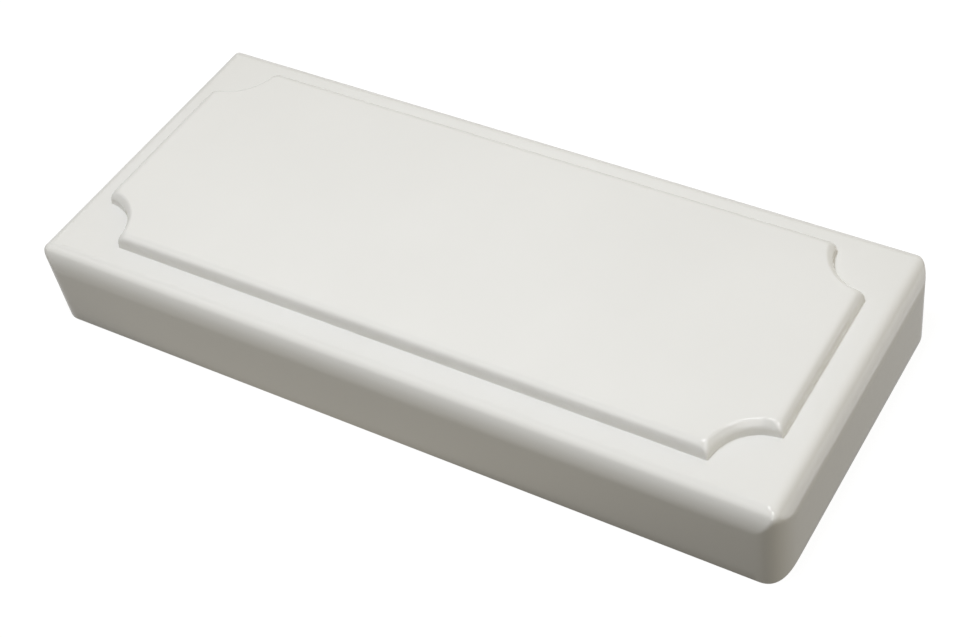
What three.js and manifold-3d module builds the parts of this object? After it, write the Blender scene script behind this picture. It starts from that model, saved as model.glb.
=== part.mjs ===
// Architrave plinth block: a rectangular block with rounded edges and a raised panel whose four corners are scooped.
// Millimetres. The block lies on its flat back: +X along its length, +Y across it, +Z out of the decorated face.
// The origin is the centre of the back.
import * as THREE from "three";
import { mergeVertices } from "three/addons/utils/BufferGeometryUtils.js";
import Module from "manifold-3d";

// Driving dimensions
const LENGTH = 200;
const WIDTH = 85;
const FIELD_HEIGHT = 23.3; // from the back to the flat margin round the panel
const CORNER_RADIUS = 6; // upright corners, in plan, rounded after the top edges
const EDGE_ACROSS = 4.6; // the rounded top edge: how far it reaches in over the face
const EDGE_DOWN = 7.2; // and how far it reaches down the sides
const PANEL_MARGIN = 8.8; // from the sides to the foot of the panel
const PANEL_RISE = 3.9; // panel face above the flat margin
const PANEL_EDGE = 3; // how far the panel's rounded rim reaches in from its foot
const SCOOP_RADIUS = 11.5; // hollow corners of the panel, centred where its edges would meet

// Facets
const CORNER_STEPS = 8;
const EDGE_STEPS = 10;
const PANEL_EDGE_STEPS = 7;
const SCOOP_STEPS = 16;

// Depth by which the panel's body reaches into the block, so that the two join as one solid.
const PANEL_ROOT = 6;

const wasm = await Module();
wasm.setup();

/** A closed three.js geometry as a solid that can be joined and cut. */
function toSolid(geometry) {
  const bare = geometry.clone();
  bare.deleteAttribute("normal");
  bare.deleteAttribute("uv");
  const merged = mergeVertices(bare, 1e-4);
  return new wasm.Manifold(
    new wasm.Mesh({
      numProp: 3,
      vertProperties: new Float32Array(merged.attributes.position.array),
      triVerts: new Uint32Array(merged.index.array),
    }),
  );
}

/** A solid back as a three.js geometry. */
function toGeometry(solid) {
  const mesh = solid.getMesh();
  const geometry = new THREE.BufferGeometry();
  geometry.setAttribute("position", new THREE.BufferAttribute(mesh.vertProperties, 3));
  geometry.setIndex(new THREE.BufferAttribute(mesh.triVerts, 1));
  geometry.computeVertexNormals();
  return geometry;
}

/** A rectangle with rounded corners, centred on the origin. */
function roundedRectangle(length, width, radius) {
  const x = length / 2;
  const y = width / 2;
  const shape = new THREE.Shape();
  shape.moveTo(x, -y + radius);
  shape.lineTo(x, y - radius);
  shape.absarc(x - radius, y - radius, radius, 0, Math.PI / 2);
  shape.lineTo(-x + radius, y);
  shape.absarc(-x + radius, y - radius, radius, Math.PI / 2, Math.PI);
  shape.lineTo(-x, -y + radius);
  shape.absarc(-x + radius, -y + radius, radius, Math.PI, 1.5 * Math.PI);
  shape.lineTo(x - radius, -y);
  shape.absarc(x - radius, -y + radius, radius, 1.5 * Math.PI, 2 * Math.PI);
  return shape;
}

/** A rectangle centred on the origin. */
function rectangle(length, width) {
  const x = length / 2;
  const y = width / 2;
  return new THREE.Shape([
    new THREE.Vector2(-x, -y),
    new THREE.Vector2(x, -y),
    new THREE.Vector2(x, y),
    new THREE.Vector2(-x, y),
  ]);
}

/**
 * The panel's outline moved in by `inset`. Each hollow corner is an arc round the corner of the panel's rectangle,
 * and it meets the moved edges where they cross the arc.
 */
function scoopedRectangle(length, width, scoop, inset) {
  const x = length / 2;
  const y = width / 2;
  const radius = scoop + inset;
  const cut = Math.asin(inset / radius);
  const quarter = Math.PI / 2;
  const shape = new THREE.Shape();
  const corners = [
    [x, -y, quarter],
    [x, y, 2 * quarter],
    [-x, y, 3 * quarter],
    [-x, -y, 4 * quarter],
  ];
  for (const [cornerX, cornerY, start] of corners) {
    shape.absarc(cornerX, cornerY, radius, start + quarter - cut, start + cut, true);
  }
  shape.closePath();
  return shape;
}

/**
 * The block up to its flat margin. The rounded top edges meet in a mitre at each corner. The upright corners are
 * rounded through that mitre, so the line where a side begins rises at each corner.
 */
function blockSolid() {
  const edged = new THREE.ExtrudeGeometry(rectangle(LENGTH - 2 * EDGE_ACROSS, WIDTH - 2 * EDGE_ACROSS), {
    depth: FIELD_HEIGHT - EDGE_DOWN,
    bevelEnabled: true,
    bevelThickness: EDGE_DOWN,
    bevelSize: EDGE_ACROSS,
    bevelSegments: EDGE_STEPS,
  });
  const upright = new THREE.ExtrudeGeometry(roundedRectangle(LENGTH, WIDTH, CORNER_RADIUS), {
    depth: FIELD_HEIGHT,
    curveSegments: CORNER_STEPS,
    bevelEnabled: false,
  });
  return toSolid(edged).intersect(toSolid(upright));
}

/** The raised panel, with its root sunk into the block. */
function panelSolid() {
  const outline = scoopedRectangle(
    LENGTH - 2 * PANEL_MARGIN,
    WIDTH - 2 * PANEL_MARGIN,
    SCOOP_RADIUS,
    PANEL_EDGE,
  );
  const panel = new THREE.ExtrudeGeometry(outline, {
    depth: PANEL_ROOT,
    curveSegments: SCOOP_STEPS,
    bevelEnabled: true,
    bevelThickness: PANEL_RISE,
    bevelSize: PANEL_EDGE,
    bevelSegments: PANEL_EDGE_STEPS,
  });
  panel.translate(0, 0, FIELD_HEIGHT - PANEL_ROOT);
  return toSolid(panel);
}

const enamel = new THREE.MeshStandardMaterial({
  color: 0xe6e5e1,
  roughness: 0.35,
  metalness: 0,
});

const plinthBlock = new THREE.Mesh(toGeometry(blockSolid().add(panelSolid())), enamel);
plinthBlock.name = "plinth_block";

const part = new THREE.Group();
part.name = "architrave_plinth_block";
part.add(plinthBlock);

export default part;
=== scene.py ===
"""Architrave plinth block: painted fibreboard with rounded edges and a raised, scoop-cornered panel."""
import math

import bpy
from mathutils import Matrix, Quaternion, Vector


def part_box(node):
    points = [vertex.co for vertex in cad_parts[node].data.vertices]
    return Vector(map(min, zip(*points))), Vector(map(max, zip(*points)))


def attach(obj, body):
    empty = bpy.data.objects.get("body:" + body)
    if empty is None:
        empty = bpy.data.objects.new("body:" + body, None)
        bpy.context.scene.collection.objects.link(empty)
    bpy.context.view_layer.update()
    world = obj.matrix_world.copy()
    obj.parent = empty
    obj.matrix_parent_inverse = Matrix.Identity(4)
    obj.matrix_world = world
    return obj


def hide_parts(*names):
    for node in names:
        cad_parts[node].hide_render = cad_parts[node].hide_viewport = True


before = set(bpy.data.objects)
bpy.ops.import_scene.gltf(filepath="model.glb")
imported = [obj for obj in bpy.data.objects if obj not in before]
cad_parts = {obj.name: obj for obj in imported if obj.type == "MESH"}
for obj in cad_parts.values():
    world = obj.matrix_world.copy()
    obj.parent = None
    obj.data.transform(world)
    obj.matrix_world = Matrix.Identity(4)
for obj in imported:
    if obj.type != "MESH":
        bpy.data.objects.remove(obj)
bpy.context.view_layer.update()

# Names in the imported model
NODE = "plinth_block"
BODY = "root"

# Sizes of the block, in metres. It lies on its back, and the origin is in the middle of that.
HALF_LENGTH, HALF_WIDTH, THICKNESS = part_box(NODE)[1]
PANEL_RISE = 0.0039
FIELD_HEIGHT = THICKNESS - PANEL_RISE  # from the back to the flat margin round the panel

# Upright corners, rounded by hand: how far they run along X and along Y, and their power.
# A power of 2 is a quarter ellipse, and a higher one is fuller. That holds for every power below.
CORNERS = (
    (0.0070, 0.0120, 3.3),  # front right
    (0.0080, 0.0080, 2.1),  # rear right
    (0.0062, 0.0062, 2.1),  # rear left
    (0.0062, 0.0062, 2.1),  # front left
)
RIDGE_SOFTNESS = 0.26  # where two rounded edges meet at a corner, as a share of its reach
CREASE_SOFTNESS = 0.6  # where an upright corner cuts into that ridge, as a share of how far it cuts

# Rounded top edges, and the edge round the back
EDGE_ACROSS = 0.0044
EDGE_DOWN = 0.0073
EDGE_POWER = 2.2
ARRIS = 0.0002

# Raised panel
PANEL_MARGIN = 0.0088  # from the sides to its foot
PANEL_EDGE = 0.0030  # how far its rounded rim reaches in from the foot
PANEL_POWER = 2.6
PAINT_FILLET = 0.0002  # paint gathered along its foot
FLAT_BORDER = 0.0004  # strip of its flat face kept beside the rim
SCOOP_RADIUS = 0.0118
SCOOP_UPRIGHT = 0.0023  # how far the scoops' walls go straight up
SCOOP_LEAN = 0.85  # how much they lean back above that
SCOOP_BEND = 0.0006  # softness of the bend between the two
SCOOP_CREST = 0.0006  # depth over which their upper edge is rounded
CUSP_SOFTNESS = 0.0004  # radius of the points beside the scoops, at their foot
CUSP_WEAR = 0.0016  # how much more that is at the top

# Number of points along each stretch of the outline and of the profile
CUSP_POINTS = 8
SCOOP_POINTS = 44
CORNER_POINTS = 2 * CUSP_POINTS + SCOOP_POINTS  # the same on the block and on the panel
LONG_POINTS = 90
SHORT_POINTS = 32
ARRIS_STEPS = 4
SIDE_STEPS = 6
EDGE_STEPS = 40
FIELD_STEPS = 6
FILLET_STEPS = 5
RIM_STEPS = 24
SMALLEST = 1e-9  # keeps a division in bounds where a sine or cosine is zero

# Paint. A pattern is given by its scale, in repeats per metre, and its detail.
PAINT_IOR = 1.5
MOTTLE_PATTERN = (28.0, 3.0)  # slow drift of the colour
MOTTLE_STOPS = ((0.3, (0.799, 0.799, 0.789, 1.0)), (0.7, (0.819, 0.819, 0.809, 1.0)))
SPRAY_PATTERN = (95.0, 4.0)  # uneven gloss
SPRAY_ROUGHNESS = 0.08  # how much the roughness varies with it
GLOSS_ROUGHNESS = 0.10  # roughness where the paint is glossiest
MILLED_ROUGHNESS = 0.02  # how much rougher the milled edges are
MILLED_FACING = 0.97  # a surface counts as milled where its normal's Z is below this
PEEL_PATTERN = (420.0, 2.0)  # orange peel
GRAIN_PATTERN = (1900.0, 2.0)  # finer grain
GRAIN_HEIGHT = 0.12  # as a share of the orange peel
NIB_SCALE = 52.0  # specks caught in the paint, in cells per metre
NIB_RARITY = 0.78  # share of the cells that hold none
NIB_SIZE = 0.02  # as a share of a cell
NIB_HEIGHT = 6.0  # as a multiple of the orange peel
BUMP_STRENGTH = 0.13
BUMP_DISTANCE = 0.0001

# Primer, on the back only
BACK_DEPTH = 0.0001  # the back ends this far above the floor
PRIMER_COLOUR = (0.62, 0.61, 0.58, 1.0)
PRIMER_ROUGHNESS = 0.55  # added to the paint's
PRIMER_GRAIN = 0.6  # added to the grain's height

# Camera: the photograph's viewing angle, angles in degrees
CAMERA_AIM = Vector((0.04498, -0.02428, 0.0233))
CAMERA_AZIMUTH = 34.958
CAMERA_ELEVATION = 48.505
CAMERA_ROLL = -8.172
CAMERA_DISTANCE = 0.39050
CAMERA_LENS = 66.243
CAMERA_SHIFT = (-0.1031, 0.0619)  # the photograph is cut from a wider one
CAMERA_NEAR = 0.01
SENSOR_WIDTH = 36.0

# Floor and backdrop
WHITE = (1.0, 1.0, 1.0)
FLOOR_SIZE = 8.0
FLOOR_COLOUR = (0.10, 0.10, 0.10, 1.0)
FLOOR_ROUGHNESS = 0.9
FLOOR_GLOW = 0.93
BACKDROP_COLOUR = (0.97, 0.97, 0.97, 1.0)

# Lights that shape the block: one overhead, a card before the front side, one from the right, and the room
KEY_PLACE = Vector((0.005, -0.075, 0.50))
KEY_SIZE = (0.12, 0.12)
KEY_POWER = 1.40
KEY_COLOUR = (0.885, 0.928, 1.0)
BOUNCE_PLACE = Vector((-0.020, -0.0775, -0.001))
BOUNCE_SIZE = (0.22, 0.07)
BOUNCE_POWER = 0.0085
SIDE_DIRECTION = Vector((0.94, 0.33, 0.07))
SIDE_STRENGTH = 0.22
SIDE_SPREAD = math.radians(12)
WARM = (1.0, 0.925, 0.76)  # colour of the room, the card and the light from the right
ROOM_LIGHT = 0.45  # from above the floor's level
ROOM_LEAN = (0.06, 0.13)  # how much more comes from +X and from +Y
LOW_LIGHT = 0.01  # from below the floor's level

# Lights that only show in the enamel's sheen: place, width, power and colour
SHEENS = {
    "glint": (Vector((0.094, -0.019, 0.225)), 0.067, 0.094, WHITE),
    "second_glint": (Vector((0.189, -0.049, 0.195)), 0.053, 0.060, WHITE),
    "front_sheen": (Vector((0.78, -0.90, 0.90)), 1.1, 6.5, WHITE),
    "left_sheen": (Vector((-0.675, -0.87, 1.02)), 1.4, 7.0, (1.0, 0.97, 0.91)),
    "right_sheen": (Vector((1.14, 0.81, -0.54)), 1.0, 2.4, (0.90, 0.92, 1.0)),
}

# What else the sheen mirrors: brightness by height, from 0 straight down to 1 straight up
MIRROR_STOPS = (
    (0.0, 0.18), (0.22, 0.90), (0.30, 0.70), (0.45, 0.70), (0.52, 0.50), (0.62, 0.50), (0.82, 1.0),
)


def arc(centre, radius, start, end, count):
    """Points on an arc, both ends included, angles in radians."""
    steps = [start + (end - start) * i / (count - 1) for i in range(count)]
    return [(centre[0] + radius * math.cos(a), centre[1] + radius * math.sin(a)) for a in steps]


def between(first, second, t):
    """The point at share t of the way from one point to another."""
    return first[0] + (second[0] - first[0]) * t, first[1] + (second[1] - first[1]) * t


def soft_min(a, b, softness):
    """The smaller of two distances, blended where they differ by less than softness."""
    overlap = max(softness - abs(a - b), 0.0)
    return min(a, b) - (overlap * overlap / (4 * softness) if softness > 0 else 0.0)


def quarter(count):
    """Angles from 0 to 90 degrees, without the first."""
    return [math.pi / 2 * i / count for i in range(1, count + 1)]


def full_quarter(angle, power):
    """A point on a rounded edge of unit size, as (inwards, upwards)."""
    return 1 - max(math.cos(angle), 0.0) ** (2 / power), math.sin(angle) ** (2 / power)


def turned_corners(corners):
    """Four corners drawn at the front right, mirrored into their places in order round the block."""
    front_right = corners[0]
    rear_right = [(x, -y) for x, y in reversed(corners[1])]
    rear_left = [(-x, -y) for x, y in corners[2]]
    front_left = [(-x, y) for x, y in reversed(corners[3])]
    return [front_right, rear_right, rear_left, front_left]


def join_corners(corners):
    """One closed ring from four lists of corner points, with even points along the straights between."""
    ring = []
    for index, corner in enumerate(corners):
        following = corners[(index + 1) % len(corners)]
        count = SHORT_POINTS if index % 2 == 0 else LONG_POINTS
        ring.extend(corner)
        ring.extend(between(corner[-1], following[0], step / count) for step in range(1, count))
    return ring


def upright_reach(angle, power):
    """Share of a corner's reach at which the upright sides stand, which have rounded corners."""
    return (math.cos(angle) ** power + math.sin(angle) ** power) ** (-1 / power)


def edge_reach(angle, inset, reach_x, reach_y):
    """Share of a corner's reach at which the rounded edges stand, where they have this inset."""
    right = (1 - inset / reach_x) / max(math.cos(angle), SMALLEST)
    front = (1 - inset / reach_y) / max(math.sin(angle), SMALLEST)
    return soft_min(front, right, RIDGE_SOFTNESS)


def block_corner(inset, reach_x, reach_y, power):
    """One corner of the block, drawn at the front right, at the height where its edges have this inset."""
    corner = []
    for i in range(CORNER_POINTS):
        angle = math.pi / 2 * (1 - i / (CORNER_POINTS - 1))
        upright = upright_reach(angle, power)
        edge = edge_reach(angle, inset, reach_x, reach_y)
        cut = edge_reach(angle, 0.0, reach_x, reach_y) - upright
        reach = soft_min(upright, edge, CREASE_SOFTNESS * max(cut, 0.0))
        x = HALF_LENGTH - reach_x * (1 - reach * math.cos(angle))
        y = reach_y * (1 - reach * math.sin(angle)) - HALF_WIDTH
        corner.append((x, y))
    return corner


def block_ring(inset):
    """Outline of the block at the height where its edges have this inset."""
    return join_corners(turned_corners([block_corner(inset, *shape) for shape in CORNERS]))


def block_profile():
    """Rings of the block from its back to the flat margin, as (inset, height)."""
    rows = [(ARRIS, 0.0)]
    rows += [(ARRIS * (1 - math.sin(a)), ARRIS * (1 - math.cos(a))) for a in quarter(ARRIS_STEPS)]
    top = FIELD_HEIGHT - EDGE_DOWN
    rows += [(0.0, ARRIS + (top - ARRIS) * i / SIDE_STEPS) for i in range(1, SIDE_STEPS + 1)]
    for angle in quarter(EDGE_STEPS):
        inwards, upwards = full_quarter(angle, EDGE_POWER)
        rows.append((EDGE_ACROSS * inwards, top + EDGE_DOWN * upwards))
    return rows


def scoop_inset(height):
    """
    How far a scoop's wall stands back at a height above the flat margin. Its upper edge is a parabola that
    leaves the wall at the crest's depth and ends level with the panel's face.
    """
    gap = PANEL_RISE - height
    if gap < SCOOP_CREST:
        height = PANEL_RISE + SCOOP_CREST - 2 * math.sqrt(SCOOP_CREST * max(gap, 0.0))
    return -SCOOP_LEAN * soft_min(0.0, SCOOP_UPRIGHT - height, SCOOP_BEND)


def panel_ring(inset, hollow, softness):
    """
    Outline of the panel, with its edges moved in by inset and its scoops by hollow. Each point beside a
    scoop is a small arc that touches the edge and the scoop.
    """
    x = HALF_LENGTH - PANEL_MARGIN
    y = HALF_WIDTH - PANEL_MARGIN
    depth = inset + softness
    reach = SCOOP_RADIUS + hollow + softness
    lean = math.asin(depth / reach)
    along = math.sqrt(reach * reach - depth * depth)
    near = arc((x - along, depth - y), softness, -math.pi / 2, -lean, CUSP_POINTS)
    far = arc((x - depth, along - y), softness, lean - math.pi / 2, 0.0, CUSP_POINTS)
    scoop = arc((x, -y), SCOOP_RADIUS + hollow, math.pi - lean, math.pi / 2 + lean, SCOOP_POINTS + 2)
    corner = near + scoop[1:-1] + far
    return join_corners(turned_corners([corner] * 4))


def panel_profile():
    """Rings of the panel from its foot to its face, as (inset, hollow, height above the flat margin)."""
    rows = [(-PAINT_FILLET, -PAINT_FILLET, 0.0)]
    for angle in quarter(FILLET_STEPS):
        gathered = -PAINT_FILLET * (1 - math.sin(angle))
        rows.append((gathered, gathered, PAINT_FILLET * (1 - math.cos(angle))))
    foot = math.asin((PAINT_FILLET / PANEL_RISE) ** (PANEL_POWER / 2))  # where the rim leaves the fillet
    for angle in quarter(RIM_STEPS):
        inwards, upwards = full_quarter(foot + (1 - foot / (math.pi / 2)) * angle, PANEL_POWER)
        height = PANEL_RISE * upwards
        rows.append((PANEL_EDGE * inwards, scoop_inset(height), height))
    rows.append((PANEL_EDGE + FLAT_BORDER, rows[-1][1] + FLAT_BORDER, PANEL_RISE))
    return rows


def block_rings():
    """Every ring of the block in order, as (points, height)."""
    block = [(block_ring(inset), height) for inset, height in block_profile()]
    panel = []
    for inset, hollow, height in panel_profile():
        softness = CUSP_SOFTNESS + CUSP_WEAR * (height / PANEL_RISE) ** 2
        panel.append((panel_ring(inset, hollow, softness), FIELD_HEIGHT + height))
    outer = block[-1][0]
    inner = panel[0][0]
    field = []
    for step in range(1, FIELD_STEPS):
        points = [between(a, b, step / FIELD_STEPS) for a, b in zip(outer, inner)]
        field.append((points, FIELD_HEIGHT))
    return block + field + panel


def block_mesh():
    """The closed surface of the block: rings joined by four-sided faces, and a flat face at each end."""
    rings = block_rings()
    count = len(rings[0][0])
    vertices = [(x, y, height) for points, height in rings for x, y in points]
    faces = []
    for row in range(len(rings) - 1):
        low = row * count
        high = low + count
        for i in range(count):
            j = (i + 1) % count
            faces.append((low + i, low + j, high + j, high + i))
    faces.append(tuple(reversed(range(count))))
    faces.append(tuple(range(len(vertices) - count, len(vertices))))
    mesh = bpy.data.meshes.new("painted_block")
    mesh.from_pydata(vertices, [], faces)
    mesh.validate()
    mesh.shade_smooth()
    return mesh


def math_node(tree, operation, *values):
    """The result of a math node whose inputs are sockets or numbers."""
    node = tree.nodes.new("ShaderNodeMath")
    node.operation = operation
    for slot, value in zip(node.inputs, values):
        if isinstance(value, (int, float)):
            slot.default_value = value
        else:
            tree.links.new(value, slot)
    return node.outputs[0]


def axes_node(tree, vector):
    """The X, Y and Z of a vector."""
    node = tree.nodes.new("ShaderNodeSeparateXYZ")
    tree.links.new(vector, node.inputs[0])
    return node.outputs


def noise_node(tree, place, pattern):
    """A cloudy pattern over the surface."""
    node = tree.nodes.new("ShaderNodeTexNoise")
    node.inputs["Scale"].default_value, node.inputs["Detail"].default_value = pattern
    tree.links.new(place, node.inputs["Vector"])
    return node.outputs["Fac"]


def ramp_node(tree, value, stops):
    """
    A colour ramp over a value, with stops as (position, colour) in rising order. A new ramp has two stops.
    They are all set at the end, because adding one moves the others along.
    """
    node = tree.nodes.new("ShaderNodeValToRGB")
    tree.links.new(value, node.inputs["Fac"])
    elements = node.color_ramp.elements
    for position, _ in stops[2:]:
        elements.new(position)
    for element, (position, colour) in zip(elements, stops):
        element.position = position
        element.color = colour
    return node.outputs["Color"]


def paint_colour(tree, place, back):
    """Warm white with a faint mottle, and primer on the back."""
    mottle = noise_node(tree, place, MOTTLE_PATTERN)
    colour = tree.nodes.new("ShaderNodeMix")
    colour.data_type = "RGBA"
    tree.links.new(back, colour.inputs["Factor"])
    tree.links.new(ramp_node(tree, mottle, MOTTLE_STOPS), colour.inputs["A"])
    colour.inputs["B"].default_value = PRIMER_COLOUR
    return colour.outputs["Result"]


def paint_roughness(tree, place, back, milled):
    """Satin that varies as sprayed paint does, a little duller on the milled edges, and a matte back."""
    spray = noise_node(tree, place, SPRAY_PATTERN)
    satin = math_node(tree, "MULTIPLY_ADD", spray, SPRAY_ROUGHNESS, GLOSS_ROUGHNESS)
    dulled = math_node(tree, "MULTIPLY_ADD", milled, MILLED_ROUGHNESS, satin)
    return math_node(tree, "MULTIPLY_ADD", back, PRIMER_ROUGHNESS, dulled)


def paint_nibs(tree, place):
    """Height of the specks caught in the paint: a small cone in a few of the cells."""
    cells = tree.nodes.new("ShaderNodeTexVoronoi")
    cells.inputs["Scale"].default_value = NIB_SCALE
    tree.links.new(place, cells.inputs["Vector"])
    tint = tree.nodes.new("ShaderNodeSeparateColor")
    tree.links.new(cells.outputs["Color"], tint.inputs[0])
    chosen = math_node(tree, "GREATER_THAN", tint.outputs["Red"], NIB_RARITY)
    cone = math_node(tree, "MULTIPLY_ADD", cells.outputs["Distance"], -1 / NIB_SIZE, 1.0)
    return math_node(tree, "MULTIPLY", math_node(tree, "MAXIMUM", cone, 0.0), chosen)


def paint_bump(tree, place, back):
    """Orange peel, fine grain and nibs, with more grain on the back."""
    peel = noise_node(tree, place, PEEL_PATTERN)
    grain = noise_node(tree, place, GRAIN_PATTERN)
    coarse = math_node(tree, "MULTIPLY_ADD", back, PRIMER_GRAIN, GRAIN_HEIGHT)
    skin = math_node(tree, "MULTIPLY_ADD", grain, coarse, peel)
    height = math_node(tree, "MULTIPLY_ADD", paint_nibs(tree, place), NIB_HEIGHT, skin)
    bump = tree.nodes.new("ShaderNodeBump")
    bump.inputs["Strength"].default_value = BUMP_STRENGTH
    bump.inputs["Distance"].default_value = BUMP_DISTANCE
    tree.links.new(height, bump.inputs["Height"])
    return bump.outputs["Normal"]


def enamel_material():
    """Warm white satin enamel sprayed over milled fibreboard, and a matte primed back."""
    material = bpy.data.materials.new("warm_white_enamel")
    material.use_nodes = True
    tree = material.node_tree
    shader = tree.nodes["Principled BSDF"]
    shader.inputs["IOR"].default_value = PAINT_IOR
    surface = tree.nodes.new("ShaderNodeTexCoord").outputs
    place = surface["Object"]
    back = math_node(tree, "LESS_THAN", axes_node(tree, place)["Z"], BACK_DEPTH)
    milled = math_node(tree, "LESS_THAN", axes_node(tree, surface["Normal"])["Z"], MILLED_FACING)
    tree.links.new(paint_colour(tree, place, back), shader.inputs["Base Color"])
    tree.links.new(paint_roughness(tree, place, back, milled), shader.inputs["Roughness"])
    tree.links.new(paint_bump(tree, place, back), shader.inputs["Normal"])
    return material


def add_object(name, data):
    """A new object in the scene."""
    made = bpy.data.objects.new(name, data)
    bpy.context.scene.collection.objects.link(made)
    return made


def add_block():
    """The painted block in place of its plain solid."""
    piece = add_object("painted_block", block_mesh())
    piece.data.materials.append(enamel_material())
    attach(piece, BODY)
    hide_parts(NODE)


def floor_material():
    """Pale and matte, with a glow of its own that is not sampled as a lamp, which would only add noise."""
    material = bpy.data.materials.new("floor")
    material.use_nodes = True
    shader = material.node_tree.nodes["Principled BSDF"]
    shader.inputs["Base Color"].default_value = FLOOR_COLOUR
    shader.inputs["Roughness"].default_value = FLOOR_ROUGHNESS
    shader.inputs["Emission Color"].default_value = (*WHITE, 1.0)
    shader.inputs["Emission Strength"].default_value = FLOOR_GLOW
    material.cycles.emission_sampling = "NONE"
    return material


def add_floor():
    """A plain pale floor at the block's back, which lights and shades nothing."""
    half = FLOOR_SIZE / 2
    corners = [(-half, -half, 0), (half, -half, 0), (half, half, 0), (-half, half, 0)]
    mesh = bpy.data.meshes.new("floor")
    mesh.from_pydata(corners, [], [(0, 1, 2, 3)])
    mesh.materials.append(floor_material())
    floor = add_object("floor", mesh)
    floor.visible_diffuse = False
    floor.visible_glossy = False
    floor.visible_shadow = False


def add_area(name, shape, place, turn, size, power, colour):
    """A flat light that shines down its own -Z and doesn't show in the picture itself."""
    data = bpy.data.lights.new(name, "AREA")
    data.shape = shape
    data.size, data.size_y = size
    data.energy = power
    data.color = colour
    lamp = add_object(name, data)
    lamp.location = place
    lamp.rotation_euler = turn
    lamp.visible_camera = False
    return lamp


def add_side_light():
    """A low, soft light from the right."""
    data = bpy.data.lights.new("side", "SUN")
    data.energy = SIDE_STRENGTH
    data.angle = SIDE_SPREAD
    data.color = WARM
    side = add_object("side", data)
    side.rotation_mode = "QUATERNION"
    side.rotation_quaternion = SIDE_DIRECTION.to_track_quat("Z", "Y")
    side.visible_glossy = False


def add_lights():
    """Lights that shape the block but don't show in its sheen, and lights that only show there."""
    downward = (0.0, 0.0, 0.0)
    upward = (math.pi, 0.0, 0.0)
    key = add_area("overhead", "RECTANGLE", KEY_PLACE, downward, KEY_SIZE, KEY_POWER, KEY_COLOUR)
    key.visible_glossy = False
    bounce = add_area("bounce", "ELLIPSE", BOUNCE_PLACE, upward, BOUNCE_SIZE, BOUNCE_POWER, WARM)
    bounce.visible_glossy = False
    for name, (place, width, power, colour) in SHEENS.items():
        facing = place.to_track_quat("Z", "Y").to_euler()
        sheen = add_area(name, "DISK", place, facing, (width, width), power, colour)
        sheen.visible_diffuse = False
    add_side_light()


def mix_node(tree, factor, first, second):
    """The first shader, or the second where the factor is 1."""
    node = tree.nodes.new("ShaderNodeMixShader")
    for slot, value in zip(node.inputs, (factor, first, second)):
        tree.links.new(value, slot)
    return node.outputs[0]


def room_light(tree, axes):
    """Strength of the room's light: more from above the floor's level, from the right and from the rear."""
    above = math_node(tree, "GREATER_THAN", axes["Z"], 0.0)
    right = math_node(tree, "MULTIPLY_ADD", axes["X"], ROOM_LEAN[0], ROOM_LIGHT - LOW_LIGHT)
    extra = math_node(tree, "MULTIPLY_ADD", axes["Y"], ROOM_LEAN[1], right)
    return math_node(tree, "MULTIPLY_ADD", above, extra, LOW_LIGHT)


def add_room():
    """A dim warm room that lights the block, the greys that its sheen mirrors, and a white backdrop."""
    world = bpy.data.worlds.new("room")
    bpy.context.scene.world = world
    world.use_nodes = True
    tree = world.node_tree
    axes = axes_node(tree, tree.nodes.new("ShaderNodeTexCoord").outputs["Generated"])
    lit = tree.nodes["Background"]
    lit.inputs["Color"].default_value = (*WARM, 1.0)
    tree.links.new(room_light(tree, axes), lit.inputs["Strength"])
    height = math_node(tree, "MULTIPLY_ADD", axes["Z"], 0.5, 0.5)  # from -1 to 1 made into 0 to 1
    greys = [(position, (grey, grey, grey, 1.0)) for position, grey in MIRROR_STOPS]
    mirrored = tree.nodes.new("ShaderNodeBackground")
    tree.links.new(ramp_node(tree, height, greys), mirrored.inputs["Color"])
    backdrop = tree.nodes.new("ShaderNodeBackground")
    backdrop.inputs["Color"].default_value = BACKDROP_COLOUR
    rays = tree.nodes.new("ShaderNodeLightPath").outputs
    shaded = mix_node(tree, rays["Is Glossy Ray"], lit.outputs[0], mirrored.outputs[0])
    seen = mix_node(tree, rays["Is Camera Ray"], shaded, backdrop.outputs[0])
    tree.links.new(seen, tree.nodes["World Output"].inputs["Surface"])


def add_camera():
    """The photograph's camera, turned about its own axis as the picture is."""
    data = bpy.data.cameras.new("camera")
    data.sensor_width = SENSOR_WIDTH
    data.lens = CAMERA_LENS
    data.shift_x, data.shift_y = CAMERA_SHIFT
    data.clip_start = CAMERA_NEAR
    camera = add_object("camera", data)
    azimuth = math.radians(CAMERA_AZIMUTH)
    elevation = math.radians(CAMERA_ELEVATION)
    level = math.cos(elevation)
    back = Vector((math.sin(azimuth) * level, -math.cos(azimuth) * level, math.sin(elevation)))
    camera.location = CAMERA_AIM + back * CAMERA_DISTANCE
    camera.rotation_mode = "QUATERNION"
    roll = Quaternion((0, 0, 1), math.radians(CAMERA_ROLL))
    camera.rotation_quaternion = (-back).to_track_quat("-Z", "Y") @ roll
    bpy.context.scene.camera = camera


add_camera()
add_block()
add_floor()
add_lights()
add_room()
bpy.context.scene.view_settings.view_transform = "Standard"
